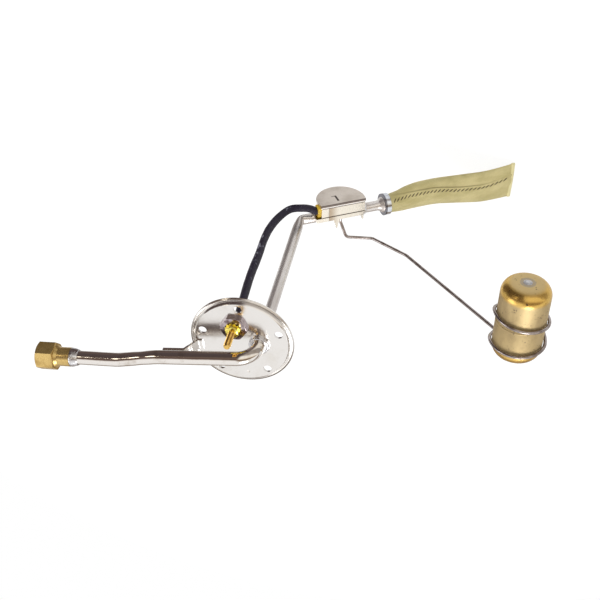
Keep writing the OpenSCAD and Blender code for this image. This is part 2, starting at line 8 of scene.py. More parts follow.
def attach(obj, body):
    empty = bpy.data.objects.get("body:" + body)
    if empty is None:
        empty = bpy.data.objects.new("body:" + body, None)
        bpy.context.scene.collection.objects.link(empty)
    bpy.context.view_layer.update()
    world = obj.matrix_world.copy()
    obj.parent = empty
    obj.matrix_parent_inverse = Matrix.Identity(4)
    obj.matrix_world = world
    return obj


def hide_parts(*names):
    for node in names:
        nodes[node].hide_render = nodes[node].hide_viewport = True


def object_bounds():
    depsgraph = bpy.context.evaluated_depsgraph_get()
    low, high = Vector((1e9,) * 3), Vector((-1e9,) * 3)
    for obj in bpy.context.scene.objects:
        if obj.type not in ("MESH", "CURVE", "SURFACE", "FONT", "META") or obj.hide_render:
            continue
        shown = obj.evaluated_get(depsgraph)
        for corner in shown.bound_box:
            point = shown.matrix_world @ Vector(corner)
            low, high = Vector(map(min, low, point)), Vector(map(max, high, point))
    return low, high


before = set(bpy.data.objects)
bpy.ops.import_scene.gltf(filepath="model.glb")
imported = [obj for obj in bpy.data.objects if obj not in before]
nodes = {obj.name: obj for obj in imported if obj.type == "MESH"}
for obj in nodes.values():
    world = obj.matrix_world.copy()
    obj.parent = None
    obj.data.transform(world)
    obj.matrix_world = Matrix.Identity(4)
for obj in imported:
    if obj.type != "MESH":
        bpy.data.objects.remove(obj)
cad_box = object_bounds()
scene = bpy.context.scene
MM = 0.001

# ---------------------------------------------------------------- camera

camera = bpy.data.objects.new("camera", bpy.data.cameras.new("camera"))
camera.data.lens = 59.15
camera.data.sensor_width = 36
camera.location = (-0.12291, -0.42673, 0.48121)
camera.rotation_euler = [math.radians(a) for a in (-38.355, 10.373, -179.483)]
scene.collection.objects.link(camera)
scene.camera = camera


# ---------------------------------------------------------------- places

def mm(x, y, z):
    return Vector((x, y, z)) * MM


def axes(x, y, z, at):
    """A matrix with these three columns and this place."""
    return Matrix(((x.x, y.x, z.x, at.x), (x.y, y.y, z.y, at.y), (x.z, y.z, z.z, at.z), (0, 0, 0, 1)))


SLOPE = math.radians(30)
bend = mm(-12, 0, -146)
end_x = Vector((-math.cos(SLOPE), 0, -math.sin(SLOPE)))
end_z = Vector((math.sin(SLOPE), 0, -math.cos(SLOPE)))
end_frame = axes(end_x, Vector((0, 1, 0)), end_z, bend)
pivot = end_frame @ mm(31.4, 0, -5.62)
pivot_frame = axes(end_x, -end_z, Vector((0, 1, 0)), pivot)
RISE = math.radians(38.4)
float_centre = pivot + 176.8 * MM * Vector((-math.cos(RISE), 0, math.sin(RISE))) + mm(0, -8, 0)
outlet_end = mm(124.9, 20.61, 18)
outlet_way = (outlet_end - mm(82, 16.6, 18)).normalized()


def facing(way, at):
    """A frame at a point whose z axis runs along way."""
    side = Vector((0, 1, 0)).cross(way).normalized()
    return axes(side, way.cross(side), way, at)


# ---------------------------------------------------------------- materials

def socket(group, name, kind, way, value=None):
    made = group.interface.new_socket(name=name, in_out=way, socket_type=kind)
    if value is not None:
        made.default_value = value
    return made


class Tree:
    """Short ways to place and join nodes."""

    def __init__(self, tree):
        self.tree = tree

    def add(self, kind, **settings):
        made = self.tree.nodes.new(kind)
        for key, value in settings.items():
            setattr(made, key, value)
        return made

    def join(self, a, b):
        self.tree.links.new(a, b)

    def feed(self, node, **inputs):
        for key, value in inputs.items():
            spot = node.inputs[int(key[1:])] if key[0] == "_" else node.inputs[key.replace("_", " ")]
            if isinstance(value, bpy.types.NodeSocket):
                self.join(value, spot)
            else:
                spot.default_value = value
        return node

    def math(self, operation, a, b=0.0, clamp=False):
        node = self.add("ShaderNodeMath", operation=operation, use_clamp=clamp)
        return self.feed(node, _0=a, _1=b).outputs[0]

    def noise(self, where, scale, detail=4.0, rough=0.55):
        node = self.add("ShaderNodeTexNoise")
        self.feed(node, Vector=where, Scale=scale, Detail=detail, Roughness=rough)
        return node.outputs["Fac"]

    def band(self, value, low, high, to_low=0.0, to_high=1.0, smooth=True):
        node = self.add("ShaderNodeMapRange", interpolation_type="SMOOTHSTEP" if smooth else "LINEAR")
        self.feed(node, _0=value, _1=low, _2=high, _3=to_low, _4=to_high)
        return node.outputs[0]

    def blend(self, share, a, b, how="MIX"):
        node = self.add("ShaderNodeMix", data_type="RGBA", blend_type=how)
        self.feed(node, _0=share, _6=a, _7=b)
        return node.outputs[2]

    def place(self, centre=(0, 0, 0), scale=(1, 1, 1), kind="Object"):
        """Object or UV coordinates, centred on a point and stretched."""
        where = self.add("ShaderNodeTexCoord").outputs[kind]
        node = self.add("ShaderNodeMapping", vector_type="TEXTURE")
        self.feed(node, Vector=where, Location=tuple(centre), Scale=tuple(1 / s for s in scale))
        return node.outputs[0]


def rgb(r, g, b):
    return (r, g, b, 1.0)


def group_start(name, inputs, outputs):
    group = bpy.data.node_groups.new(name, "ShaderNodeTree")
    for label, kind, value in inputs:
        socket(group, label, kind, "INPUT", value)
    for label, kind in outputs:
        socket(group, label, kind, "OUTPUT")
    t = Tree(group)
    return group, t, t.add("NodeGroupInput").outputs, t.add("NodeGroupOutput").inputs


FLOAT, COLOUR, VECTOR = "NodeSocketFloat", "NodeSocketColor", "NodeSocketVector"


def make_handled_metal():
    """Cloudy stains, fine grain and dull patches on a metal face."""
    group, t, inp, out = group_start(
        "Handled metal",
        [("Vector", VECTOR, None), ("Clean", COLOUR, rgb(0.8, 0.8, 0.8)), ("Stain", COLOUR, rgb(0.5, 0.45, 0.4)),
         ("Cloud scale", FLOAT, 60.0), ("Cover", FLOAT, 0.5), ("Polished", FLOAT, 0.1), ("Dull", FLOAT, 0.3),
         ("Grain scale", FLOAT, 900.0)],
        [("Color", COLOUR), ("Roughness", FLOAT), ("Height", FLOAT), ("Mask", FLOAT)])
    cloud = t.noise(inp["Vector"], inp["Cloud scale"], 5.0, 0.62)
    edge = t.math("SUBTRACT", 0.78, t.math("MULTIPLY", inp["Cover"], 0.5))
    mask = t.band(cloud, t.math("SUBTRACT", edge, 0.13), t.math("ADD", edge, 0.13))
    grain = t.noise(inp["Vector"], inp["Grain scale"], 3.0, 0.6)
    colour = t.blend(mask, inp["Clean"], inp["Stain"])
    t.join(t.blend(t.band(grain, 0.3, 0.7, 0.0, 0.16), colour, inp["Stain"]), out["Color"])
    rough = t.add("ShaderNodeMix", data_type="FLOAT")
    t.feed(rough, _0=mask, _2=inp["Polished"], _3=inp["Dull"])
    t.join(t.math("ADD", rough.outputs[0], t.band(grain, 0.3, 0.7, -0.03, 0.03, False), True), out["Roughness"])
    t.join(grain, out["Height"])
    t.join(mask, out["Mask"])
    return group


def make_specks():
    """Scattered small dark marks, some close together and some far apart."""
    group, t, inp, out = group_start(
        "Specks", [("Vector", VECTOR, None), ("Scale", FLOAT, 300.0), ("Size", FLOAT, 0.3), ("Share", FLOAT, 0.4)],
        [("Mask", FLOAT)])
    cells = t.add("ShaderNodeTexVoronoi")
    t.feed(cells, Vector=inp["Vector"], Scale=inp["Scale"])
    dot = t.math("LESS_THAN", cells.outputs["Distance"], inp["Size"])
    patch = t.noise(inp["Vector"], t.math("MULTIPLY", inp["Scale"], 0.22), 3.0)
    t.join(t.math("MULTIPLY", dot, t.band(patch, t.math("SUBTRACT", 1.0, inp["Share"]),
                                          t.math("SUBTRACT", 1.12, inp["Share"]))), out["Mask"])
    return group


def make_woven():
    """Crossed threads from a piece's own UV map, which is in metres."""
    group, t, inp, out = group_start(
        "Woven threads", [("Pitch", FLOAT, 0.0005), ("Turn", FLOAT, 0.0), ("Length share", FLOAT, 1.0)],
        [("Height", FLOAT), ("Gap", FLOAT)])
    where = t.add("ShaderNodeTexCoord").outputs["UV"]
    turn = t.add("ShaderNodeVectorRotate", rotation_type="Z_AXIS")
    t.feed(turn, Vector=where, Angle=inp["Turn"])
    split = t.add("ShaderNodeSeparateXYZ")
    t.join(turn.outputs[0], split.inputs[0])
    step = t.math("DIVIDE", math.tau, inp["Pitch"])
    across = t.math("SINE", t.math("MULTIPLY", split.outputs[0], step))
    along = t.math("SINE", t.math("MULTIPLY", t.math("MULTIPLY", split.outputs[1], inp["Length share"]), step))
    height = t.math("MAXIMUM", across, along)
    t.join(t.band(height, -1.0, 1.0), out["Height"])
    t.join(t.band(height, 0.35, -0.5), out["Gap"])
    return group


HANDLED, SPECKS, WOVEN = make_handled_metal(), make_specks(), make_woven()


def material(name):
    made = bpy.data.materials.new(name)
    made.use_nodes = True
    made.node_tree.nodes.clear()
    t = Tree(made.node_tree)
    shader = t.add("ShaderNodeBsdfPrincipled")
    t.join(shader.outputs[0], t.add("ShaderNodeOutputMaterial").inputs[0])
    return made, t, shader


def bump(t, height, depth, strength=1.0, under=None):
    node = t.add("ShaderNodeBump")
    t.feed(node, Height=height, Distance=depth, Strength=strength)
    if under is not None:
        t.join(under, node.inputs["Normal"])
    return node.outputs[0]


def handled(t, where, clean, stain, cloud, cover, polished, dull, grain):
    node = t.add("ShaderNodeGroup", node_tree=HANDLED)
    t.feed(node, Vector=where, Clean=clean, Stain=stain, Cover=cover, Polished=polished, Dull=dull)
    t.feed(node, Cloud_scale=cloud, Grain_scale=grain)
    return node.outputs


def metal(name, clean, stain, cloud=60.0, cover=0.4, polished=0.1, dull=0.3, grain=900.0, depth=0.00002,
          stretch=(1, 1, 1), speck=None, pits=None, metallic=1.0, marks=None, ridge=None):
    """A plated or bare metal with stains, grain and, where asked for, specks or marks of another colour; the can's,
    lid's and ferrule's marks include painted shade and a painted highlight.
    """
    made, t, shader = material(name)
    where = t.place(scale=stretch)
    look = handled(t, where, clean, stain, cloud, cover, polished, dull, grain)
    colour = look["Color"]
    if speck:
        dots = t.add("ShaderNodeGroup", node_tree=SPECKS)
        t.feed(dots, Vector=t.place(), Scale=speck[1], Size=speck[2], Share=speck[3])
        colour = t.blend(dots.outputs[0], colour, speck[0])
    if marks:
        colour = marks(t, colour)
    t.feed(shader, Base_Color=colour, Metallic=metallic, Roughness=look["Roughness"])
    normal = bump(t, look["Height"], depth)
    if pits:
        normal = bump(t, t.noise(t.place(), pits[0], 3.0), pits[1], 1.0, normal)
    if ridge:
        split = t.add("ShaderNodeSeparateXYZ")
        t.join(t.add("ShaderNodeTexCoord").outputs["Object"], split.inputs[0])
        out = t.math("SQRT", t.math("ADD", t.math("POWER", split.outputs[0], 2.0),
                                    t.math("POWER", split.outputs[1], 2.0)))
        normal = bump(t, stripe(t, out, ridge[0], 0.0, ridge[1]), ridge[2], 1.0, normal)
    t.join(normal, shader.inputs["Normal"])
    return made


def along(t, way, start):
    """Distance in metres from a point along a direction."""
    away = t.add("ShaderNodeVectorMath", operation="SUBTRACT")
    t.feed(away, _0=t.add("ShaderNodeTexCoord").outputs["Object"], _1=tuple(start))
    node = t.add("ShaderNodeVectorMath", operation="DOT_PRODUCT")
    t.feed(node, _0=away.outputs[0], _1=tuple(way))
    return node.outputs["Value"]


def stripe(t, value, middle, half, soft):
    """One within half of the middle, fading over soft."""
    away = t.math("ABSOLUTE", t.math("SUBTRACT", value, middle))
    return t.band(away, half + soft, half)


def can_painted_shade(t, colour):
    """Painted shade: dark lines in the gaps under the lid and over the plate, and a tan shade beyond the can's corner.
    """
    deep = along(t, (0, 1, 0), (0, 0, 0))
    # Dark painted shade in the gaps under the lid and over the plate.
    painted_gap_shade = t.math("MAXIMUM", stripe(t, deep, -0.0130, 0.0003, 0.00015), stripe(t, deep, -0.0050, 0.00012, 0.00025))
    run = along(t, end_x, bend)
    # A tan painted shade on the front wall beyond the can's corner.
    tan = t.math("MULTIPLY", t.band(run, 0.0198, 0.0204), t.band(run, 0.0290, 0.0204))
    front = t.band(along(t, -end_z, pivot), 0.0, 0.004)
    colour = t.blend(t.math("MULTIPLY", t.math("MULTIPLY", tan, front), 0.8), colour, rgb(0.42, 0.31, 0.20))
    # A dark painted shade line along the can's corner.
    corner = stripe(t, run, 0.0199, 0.0001, 0.0003)
    painted_gap_shade = t.math("MAXIMUM", painted_gap_shade, t.math("MULTIPLY", t.math("MULTIPLY", corner, front), 0.6))
    return t.blend(t.math("MULTIPLY", painted_gap_shade, 0.88), colour, rgb(0.09, 0.06, 0.05))


def lid_marks_and_painted_light(t, colour):
    """The stamped slot is dark, and a darker line runs inside the lid's edge. A painted highlight runs along the lid's
    rim, and painted shade lies in the gap under it.
    """
    x, y = along(t, end_x, pivot), along(t, -end_z, pivot)
    inside = t.math("MULTIPLY", stripe(t, x, -0.00245, 0.0007, 0.0002), stripe(t, y, -0.0030, 0.0037, 0.0003))
    foot = t.math("MULTIPLY", stripe(t, x, -0.0040, 0.0016, 0.0002), stripe(t, y, -0.0063, 0.0004, 0.0003))
    dark = t.math("MAXIMUM", inside, t.math("MULTIPLY", foot, 0.7))
    colour = t.blend(t.math("MULTIPLY", dark, 0.9), colour, rgb(0.05, 0.035, 0.03))
    deep = along(t, (0, 1, 0), (0, 0, 0))
    edge = t.math("MULTIPLY", t.band(y, 0.0040, 0.0043), t.band(deep, -0.0143, -0.0146))
    colour = t.blend(t.math("MULTIPLY", edge, 0.85), colour, rgb(0.10, 0.07, 0.06))
    # A pale painted highlight along the lid's rim.
    colour = t.blend(t.math("MULTIPLY", t.band(deep, -0.0146, -0.0142), 0.8), colour, rgb(0.92, 0.89, 0.86))
    # Dark painted shade in the gap under the lid's rim.
    lid_gap_shade = t.band(deep, -0.01365, -0.01345)
    return t.blend(t.math("MULTIPLY", lid_gap_shade, 0.7), colour, rgb(0.12, 0.08, 0.07))


def ferrule_painted_shade(t, colour):
    """The ferrule's back face is painted dark as shade."""
    back_face_shade = t.band(along(t, end_x, bend), 0.0706, 0.0700)
    return t.blend(t.math("MULTIPLY", back_face_shade, 0.85), colour, rgb(0.12, 0.11, 0.13))


def plain(name, light, dark, cloud, rough, depth=0.00004, grain=700.0, coat=0.0):
    """Moulded or board insulation."""
    made, t, shader = material(name)
    where = t.place()
    look = handled(t, where, light, dark, cloud, 0.5, rough - 0.08, rough + 0.08, grain)
    t.feed(shader, Base_Color=look["Color"], Metallic=0.0, Roughness=look["Roughness"], Coat_Weight=coat)
    t.join(bump(t, look["Height"], depth), shader.inputs["Normal"])
    return made


def make_sleeve():
    """Varnished braid with whitish scuffs and darker folds."""
    made, t, shader = material("varnished braid")
    weave = t.add("ShaderNodeGroup", node_tree=WOVEN)
    t.feed(weave, Pitch=0.0009, Turn=math.radians(45), Length_share=1.0)
    where = t.place(scale=(1, 1, 0.6))
    worn = stripe(t, along(t, (0, 0, 1), (0, 0, -0.078)), 0.0, 0.012, 0.022)
    spots = t.math("ADD", t.noise(where, 190.0, 5.0, 0.7), t.math("MULTIPLY", worn, 0.10))
    scuff = t.band(spots, 0.61, 0.69)
    high = t.math("MULTIPLY", scuff, t.band(weave.outputs["Height"], 0.3, 0.9))
    base = t.blend(t.noise(where, 90.0), rgb(0.013, 0.010, 0.023), rgb(0.034, 0.027, 0.053))
    base = t.blend(t.math("MULTIPLY", high, 0.75), base, rgb(0.46, 0.46, 0.54))
    t.feed(shader, Base_Color=base, Roughness=t.band(scuff, 0.0, 1.0, 0.44, 0.62), Metallic=0.0, Specular_IOR_Level=0.35)
    t.join(bump(t, weave.outputs["Height"], 0.00018), shader.inputs["Normal"])
    return made


def make_float_brass():
    """Dull handled brass on the sides; the polished shoulders are smoother, with a painted highlight in their colour,
    and the top is painted lighter.
    """
    made, t, shader = material("float brass")
    here = t.place(float_centre)
    split = t.add("ShaderNodeSeparateXYZ")
    t.join(here, split.inputs[0])
    away = t.math("ABSOLUTE", split.outputs[1])
    shoulder = t.band(away, 0.0200, 0.0235)
    top = t.band(away, 0.0285, 0.0302)
    look = handled(t, t.place(float_centre, (1, 0.45, 1)), rgb(0.62, 0.47, 0.23), rgb(0.46, 0.34, 0.17), 75.0, 0.55,
                   0.50, 0.62, 1500.0)
    # A painted highlight: brighter gold on the shoulders.
    painted_shoulder_highlight = t.blend(t.noise(here, 260.0), rgb(0.88, 0.58, 0.16), rgb(0.66, 0.42, 0.11))
    colour = t.blend(shoulder, look["Color"], painted_shoulder_highlight)
    # Painted light: the top is given a lighter colour.
    colour = t.blend(t.math("MULTIPLY", top, 0.8), colour, rgb(0.70, 0.54, 0.27))
    dots = t.add("ShaderNodeGroup", node_tree=SPECKS)
    t.feed(dots, Vector=here, Scale=620.0, Size=0.34, Share=0.47)
    patches = t.band(t.noise(here, 210.0, 4.0, 0.7), 0.62, 0.74)
    marks = t.math("MAXIMUM", dots.outputs[0], t.math("MULTIPLY", patches, 0.55))
    colour = t.blend(t.math("MULTIPLY", marks, 0.75), colour, rgb(0.16, 0.11, 0.07))
    ring = t.math("SQRT", t.math("ADD", t.math("POWER", split.outputs[0], 2.0), t.math("POWER", split.outputs[2], 2.0)))
    collar = t.math("MULTIPLY", t.band(ring, 0.0056, 0.0048), top)
    colour = t.blend(t.math("MULTIPLY", collar, 0.6), colour, rgb(0.36, 0.33, 0.30))
    rough = t.blend(shoulder, look["Roughness"], rgb(0.27, 0.27, 0.27))
    rough = t.blend(top, rough, rgb(0.52, 0.52, 0.52))
    shine = t.blend(shoulder, rgb(0.42, 0.42, 0.42), rgb(0.95, 0.95, 0.95))
    shine = t.blend(top, shine, rgb(0.45, 0.45, 0.45))
    t.feed(shader, Base_Color=colour, Metallic=shine, Roughness=rough)
    low = bump(t, t.noise(here, 140.0, 2.0), 0.0002)
    t.join(bump(t, look["Height"], 0.00002, 1.0, low), shader.inputs["Normal"])
    return made


def make_cloth(name, light, dark, pitch=0.0006, strength=0.45):
    """Fine mesh cloth with slubs and soft tone changes along the sock."""
    made, t, shader = material(name)
    weave = t.add("ShaderNodeGroup", node_tree=WOVEN)
    t.feed(weave, Pitch=pitch, Turn=0.0, Length_share=1.0)
    tone = t.noise(t.place(scale=(0.5, 1, 0.5)), 110.0, 4.0)
    slub = t.noise(t.place(scale=(0.12, 2.5, 1), kind="UV"), 2200.0, 3.0)
    base = t.blend(t.band(tone, 0.32, 0.68), light, dark)
    base = t.blend(t.band(slub, 0.35, 0.75, 0.0, 0.35), base, dark)
    base = t.blend(t.math("MULTIPLY", weave.outputs["Gap"], strength), base, dark, "MULTIPLY")
    # Painted shade: the crease attribute darkens the cloth along the seam's fold.
    crease = t.add("ShaderNodeAttribute", attribute_name="crease").outputs["Fac"]
    base = t.blend(crease, base, rgb(0.24, 0.18, 0.06))
    t.feed(shader, Base_Color=base, Roughness=0.72, Metallic=0.0, Sheen_Weight=0.25, Sheen_Roughness=0.5)
    t.join(bump(t, weave.outputs["Height"], 0.00012), shader.inputs["Normal"])
    return made


LOOKS = {
    "flange nickel": metal("flange nickel", rgb(0.84, 0.82, 0.80), rgb(0.76, 0.73, 0.69), 45.0, 0.35, 0.17, 0.22,
                           1200.0, 0.000004, ridge=(0.0337, 0.0011, 0.0007)),
    "tube nickel": metal("tube nickel", rgb(0.86, 0.83, 0.80), rgb(0.62, 0.56, 0.50), 90.0, 0.3, 0.06, 0.16, 1500.0,
                         0.000005, pits=(130.0, 0.00012)),
    "pickup nickel": metal("pickup nickel", rgb(0.84, 0.80, 0.77), rgb(0.66, 0.61, 0.58), 70.0, 0.5, 0.26, 0.38,
                           1100.0, 0.00001, (1, 1, 0.2), metallic=0.72),
    "soft solder": metal("soft solder", rgb(0.80, 0.80, 0.82), rgb(0.52, 0.51, 0.53), 300.0, 0.5, 0.10, 0.34, 1200.0,
                         0.00004, pits=(520.0, 0.0003)),
    "vent solder": metal("vent solder", rgb(0.74, 0.74, 0.75), rgb(0.50, 0.49, 0.50), 500.0, 0.5, 0.36, 0.50, 1500.0,
                         0.00002, metallic=0.55),
    "fitting brass": metal("fitting brass", rgb(0.70, 0.50, 0.19), rgb(0.47, 0.31, 0.10), 110.0, 0.5, 0.26, 0.42,
                           1400.0, 0.00002, speck=(rgb(0.40, 0.27, 0.10), 900.0, 0.2, 0.3), metallic=0.8),
    "stud brass": metal("stud brass", rgb(0.85, 0.56, 0.17), rgb(0.55, 0.32, 0.08), 260.0, 0.4, 0.12, 0.28),
    "nut brass": metal("nut brass", rgb(0.86, 0.72, 0.16), rgb(0.62, 0.50, 0.10), 240.0, 0.4, 0.07, 0.22),
    "hexagon steel": metal("hexagon steel", rgb(0.52, 0.46, 0.48), rgb(0.17, 0.12, 0.13), 210.0, 0.55, 0.10, 0.24),
    "can tin": metal("can tin", rgb(0.88, 0.83, 0.73), rgb(0.60, 0.50, 0.38), 70.0, 0.30, 0.22, 0.34, 1300.0,
                     0.00001, marks=can_painted_shade),
    "lid tin": metal("lid tin", rgb(0.76, 0.69, 0.62), rgb(0.64, 0.57, 0.50), 60.0, 0.5, 0.30, 0.40, 1500.0,
                     0.00002, metallic=0.8, marks=lid_marks_and_painted_light),
    "arm steel": metal("arm steel", rgb(0.50, 0.45, 0.44), rgb(0.29, 0.24, 0.22), 160.0, 0.5, 0.17, 0.32, 1400.0,
                       0.000004),
    "ferrule steel": metal("ferrule steel", rgb(0.82, 0.86, 0.92), rgb(0.50, 0.52, 0.58), 120.0, 0.35, 0.09, 0.24,
                           marks=ferrule_painted_shade),
    "spring brass": metal("spring brass", rgb(0.80, 0.60, 0.25), rgb(0.50, 0.34, 0.12), 200.0, 0.4, 0.15, 0.30),
    "resistance wire": metal("resistance wire", rgb(0.60, 0.46, 0.33), rgb(0.30, 0.20, 0.14), 500.0, 0.5, 0.2, 0.35),
    "float brass": make_float_brass(),
    "varnished braid": make_sleeve(),
    "yellow insulator": plain("yellow insulator", rgb(0.86, 0.58, 0.03), rgb(0.70, 0.40, 0.02), 220.0, 0.42,
                              coat=0.2),
    "pale insulator": plain("pale insulator", rgb(0.78, 0.72, 0.58), rgb(0.60, 0.53, 0.40), 200.0, 0.55),
    "card board": plain("card board", rgb(0.30, 0.15, 0.07), rgb(0.16, 0.08, 0.04), 260.0, 0.5),
    "sock cloth": make_cloth("sock cloth", rgb(0.82, 0.71, 0.35), rgb(0.63, 0.54, 0.23)),
    "sock hem": make_cloth("sock hem", rgb(0.98, 0.90, 0.52), rgb(0.88, 0.78, 0.40), 0.0009, 0.2),
    # The stitches' dark colour is painted shade.
    "stitch shade": plain("stitch shade", rgb(0.13, 0.10, 0.04), rgb(0.07, 0.05, 0.02), 600.0, 0.6),
}


# ---------------------------------------------------------------- modelling

def piece(bm, name, look, body, replaced, sharp=35, wall=0.0, round_edges=0.0,
          flat_faces=False):
    """Turns a bmesh into a finished piece that rides on its body."""
    mesh = bpy.data.meshes.new(name)
    bm.to_mesh(mesh)
    bm.free()
    mesh.shade_smooth()
    mesh.set_sharp_from_angle(angle=math.radians(sharp))
    made = bpy.data.objects.new(name, mesh)
    scene.collection.objects.link(made)
    mesh.materials.append(LOOKS[look])
    if wall:
        shell = made.modifiers.new("wall", "SOLIDIFY")
        shell.thickness = wall
        shell.offset = -1
        shell.use_even_offset = True
    if round_edges:
        soft = made.modifiers.new("edges", "BEVEL")
        soft.width = round_edges
        soft.segments = 2
        soft.limit_method = "ANGLE"
        soft.angle_limit = math.radians(sharp)
    if flat_faces:
        even = made.modifiers.new("even faces", "WEIGHTED_NORMAL")
        even.keep_sharp = True
        even.weight = 90
    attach(made, body)
    if replaced:
        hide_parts(*replaced)
    return made


def refined(node, look, body="unit", soften=0.00012, sharp=32):
    """A merged copy of a CAD node with its hard edges broken."""
    bm = bmesh.new()
    bm.from_mesh(nodes[node].data)
    bmesh.ops.remove_doubles(bm, verts=bm.verts, dist=1e-6)
    if node != "mounting_flange":
        bmesh.ops.dissolve_limit(bm, angle_limit=math.radians(0.4), verts=bm.verts, edges=bm.edges)
    if soften:
        hard = [e for e in bm.edges if len(e.link_faces) == 2 and e.calc_face_angle(0) > math.radians(sharp)]
        bmesh.ops.bevel(bm, geom=hard, offset=soften, offset_type="OFFSET", segments=2, profile=0.5,
                        affect="EDGES", material=-1, clamp_overlap=True)
    return piece(bm, node + "_finish", look, body, [node], sharp, flat_faces=True)


def rounded(points, radii, steps):
    """Straight runs between points, with an arc at each inner corner."""
    out = [points[0].copy()]
    for i in range(1, len(points) - 1):
        a = (points[i] - points[i - 1]).normalized()
        b = (points[i + 1] - points[i]).normalized()
        angle = math.acos(max(-1, min(1, a.dot(b))))
        side = a.cross(a.cross(b).normalized())
        cut = radii[i - 1] * math.tan(angle / 2)
        centre = points[i] - cut * a - radii[i - 1] * side
        for j in range(steps + 1):
            turn = angle * j / steps
            out.append(centre + radii[i - 1] * (math.cos(turn) * side + math.sin(turn) * a))
    out.append(points[-1].copy())
    return out


def smoothed(points, per):
    """A smooth curve through the points."""
    out = []
    last = len(points) - 1
    for i in range(last):
        p0, p1, p2, p3 = points[max(i - 1, 0)], points[i], points[i + 1], points[min(i + 2, last)]
        for j in range(per):
            t = j / per
            out.append(0.5 * (2 * p1 + (p2 - p0) * t + (2 * p0 - 5 * p1 + 4 * p2 - p3) * t * t
                              + (3 * p1 - p0 - 3 * p2 + p3) * t ** 3))
    out.append(points[-1].copy())
    return out


def spaced(points, step):
    """The same path with points no further apart than step."""
    out = []
    for a, b in zip(points, points[1:]):
        n = max(1, math.ceil((b - a).length / step))
        out.extend(a.lerp(b, k / n) for k in range(n))
    out.append(points[-1].copy())
    return out


def frames_on(points, side, size):
    """A frame at each point, turning as little as possible; size(i, s) gives its two half widths."""
    out, run = [], 0.0
    last = len(points) - 1
    for i, at in enumerate(points):
        way = (points[min(i + 1, last)] - points[max(i - 1, 0)]).normalized()
        side = (side - side.dot(way) * way).normalized()
        if i:
            run += (at - points[i - 1]).length
        a, b = size(i, run)
        out.append((axes(side * a, way.cross(side) * b, way, at), run))
    return out


def swept(frames, around, girth, close=False):
    """Carries a ring along the frames. The UV map is in metres, across and along."""
    bm = bmesh.new()
    across = bm.verts.layers.float.new("across")
    along = bm.verts.layers.float.new("along")
    ring = bmesh.ops.create_circle(bm, cap_ends=False, radius=1.0, segments=around)["verts"]
    for k, v in enumerate(ring):
        v[across] = k / around
        v[along] = 0.0
    bmesh.ops.transform(bm, matrix=frames[0][0], verts=ring)
    edges = list(bm.edges)
    for (before, _), (after, run) in zip(frames, frames[1:]):
        grown = bmesh.ops.extrude_edge_only(bm, edges=edges)["geom"]
        ring = [g for g in grown if isinstance(g, bmesh.types.BMVert)]
        edges = [g for g in grown if isinstance(g, bmesh.types.BMEdge) and g.is_boundary]
        bmesh.ops.transform(bm, matrix=after @ before.inverted(), verts=ring)
        for v in ring:
            v[along] = run
    if close:
        bmesh.ops.holes_fill(bm, edges=[e for e in bm.edges if e.is_boundary], sides=0)
    bmesh.ops.recalc_face_normals(bm, faces=bm.faces)
    uv = bm.loops.layers.uv.new("UVMap")
    for face in bm.faces:
        shares = [loop.vert[across] for loop in face.loops]
        wraps = len(shares) == 4 and max(shares) - min(shares) > 0.5
        for loop, share in zip(face.loops, shares):
            loop[uv].uv = ((share + (1 if wraps and share < 0.5 else 0)) * girth, loop.vert[along])
    return bm


def spun(profile, place, steps=96, soften=None, closed=False):
    """Turns a profile of (radius, height) points about the z axis of place."""
    bm = bmesh.new()
    points = [bm.verts.new((r * MM, 0, z * MM)) for r, z in profile]
    for a, b in zip(points, points[1:] + points[:1] if closed else points[1:]):
        bm.edges.new((a, b))
    if soften:
        for index, radius, segments in soften:
            bmesh.ops.bevel(bm, geom=[points[index]], offset=radius * MM, offset_type="OFFSET", segments=segments,
                            profile=0.5, affect="VERTICES", material=-1, clamp_overlap=True)
    bmesh.ops.spin(bm, geom=list(bm.verts) + list(bm.edges), cent=(0, 0, 0), axis=(0, 0, 1), dvec=(0, 0, 0),
                   angle=math.tau, steps=steps, use_merge=True)
    bmesh.ops.remove_doubles(bm, verts=bm.verts, dist=1e-7)
    bmesh.ops.recalc_face_normals(bm, faces=bm.faces)
    bmesh.ops.transform(bm, matrix=place, verts=bm.verts)
    return bm


def lumpy(bm, scale, height, seed=0.0):
    """Moves each point a little along its normal."""
    bm.normal_update()
    shift = Vector((seed, seed * 0.7, seed * 0.3))
    for v in bm.verts:
        v.co += v.normal * height * noise.noise(v.co * scale + shift)


# ---------------------------------------------------------------- tubes

def make_outlet_tube():
    route = [mm(-12, 0, 3.3), mm(-12, 0, 18), mm(55, 9.5, 18), mm(82, 16.6, 18), outlet_end]
    path = spaced(rounded(route, [0.0125, 0.040, 0.040], 14), 0.002)
    radius = 9.53 / 2 * MM

    def size(i, s):
        crease = math.exp(-((path[i].x - 0.0655) / 0.0035) ** 2)
        bent = math.exp(-((path[i] - mm(-8, 0.5, 14.5)).length / 0.009) ** 2)
        return radius * (1 - 0.03 * bent - 0.03 * crease), radius * (1 - 0.05 * crease)

    bm = swept(frames_on(path, Vector((0, 1, 0)), size), 40, math.tau * radius)
    piece(bm, "outlet_tube_finish", "tube nickel", "unit", ["outlet_tube"], 60, 0.0007)


